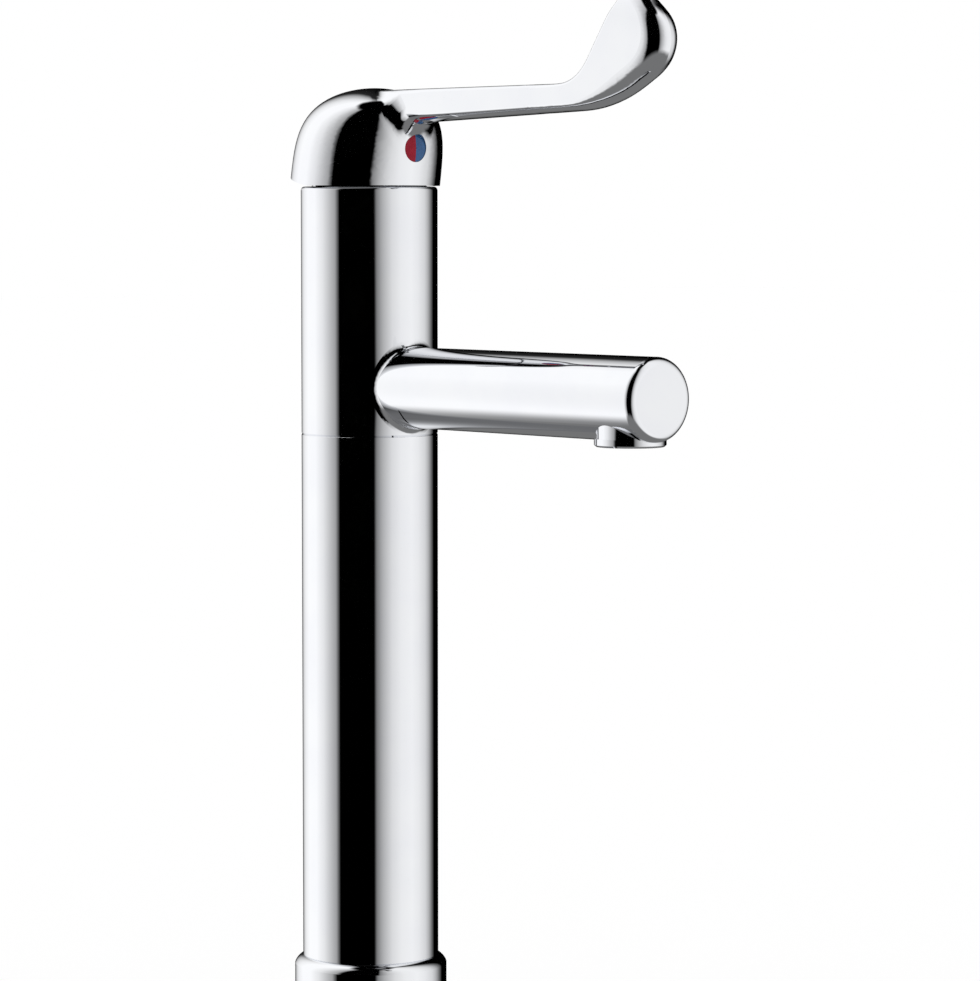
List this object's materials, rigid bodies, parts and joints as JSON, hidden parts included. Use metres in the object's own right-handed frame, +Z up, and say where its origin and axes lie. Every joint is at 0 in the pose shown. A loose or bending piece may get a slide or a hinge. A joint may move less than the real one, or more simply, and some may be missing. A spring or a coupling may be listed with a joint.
{
  "type": "single lever mixer tap",
  "caption": "Tall single lever mixer tap with a round column, a straight tubular spout, a leaning hood and a long upturned lever blade.",
  "frame": {"origin": "on the column's axis in the plane of the deck's top face, midway between the two fixing studs", "axes": "+Z up along the column, -Y towards the user along the spout and the lever, -X on the user's left, the hot side"},
  "size_m": [0.0538, 0.1804, 0.4047],
  "materials": {
    "chrome": "polished chrome plate",
    "raw_brass": "machined brass, not plated",
    "steel": "stainless steel, plain",
    "black_rubber": "black seal rubber",
    "dark_plastic": "glass filled plastic, dark grey",
    "pale_plastic": "acetal, off white",
    "limit_plastic": "red plastic",
    "ceramic": "lapped alumina ceramic, off white",
    "red_enamel": "glossy red plastic",
    "blue_enamel": "glossy blue plastic"
  },
  "bodies": {
    "root": {"base_flange": "chrome", "deck_seal": "black_rubber", "base_block": "raw_brass", "horseshoe_gasket": "black_rubber", "horseshoe_plate": "steel", "fixing_studs": "raw_brass", "stud_nuts": "raw_brass", "column_extension": "chrome", "column_o_ring": "black_rubber", "hot_supply_tube": "steel", "cold_supply_tube": "steel", "supply_o_rings": "black_rubber", "mixer_body": "chrome", "spout_end_cap": "chrome", "nozzle_housing": "chrome", "nozzle_seal": "black_rubber", "flow_straightener": "pale_plastic", "cartridge_base": "dark_plastic", "cartridge_seals": "black_rubber", "fixed_ceramic_disc": "ceramic", "cartridge_housing": "dark_plastic", "cartridge_clamp_nut": "raw_brass", "dome_ring": "chrome", "temperature_limit_ring": "limit_plastic"},
    "carrier": {"cartridge_carrier": "pale_plastic", "carrier_o_ring": "black_rubber", "stem_pivot_pin": "steel"},
    "disc": {"moving_ceramic_disc": "ceramic", "disc_coupler": "pale_plastic"},
    "lever": {"lever_handle": "chrome", "lever_stem": "raw_brass", "grub_screw": "steel", "indicator_hot": "red_enamel", "indicator_cold": "blue_enamel"}
  },
  "joints": [
    {"name": "temperature_turn", "type": "hinge", "parent": "root", "child": "carrier", "pos_m": [0, 0, 0.275], "axis": [0, 0, 1], "range_deg": [-45, 45]},
    {"name": "flow_lift", "type": "hinge", "parent": "carrier", "child": "lever", "pos_m": [0, 0, 0.275], "axis": [-1, 0, 0], "range_deg": [0, 25]},
    {"name": "disc_slide", "type": "slide", "parent": "carrier", "child": "disc", "axis": [0, -1, 0], "range_m": [0, 0.00347]}
  ],
  "couplings": [
    {"joint": "disc_slide", "follows": "flow_lift", "m_per_rad": 0.0079367}
  ]
}
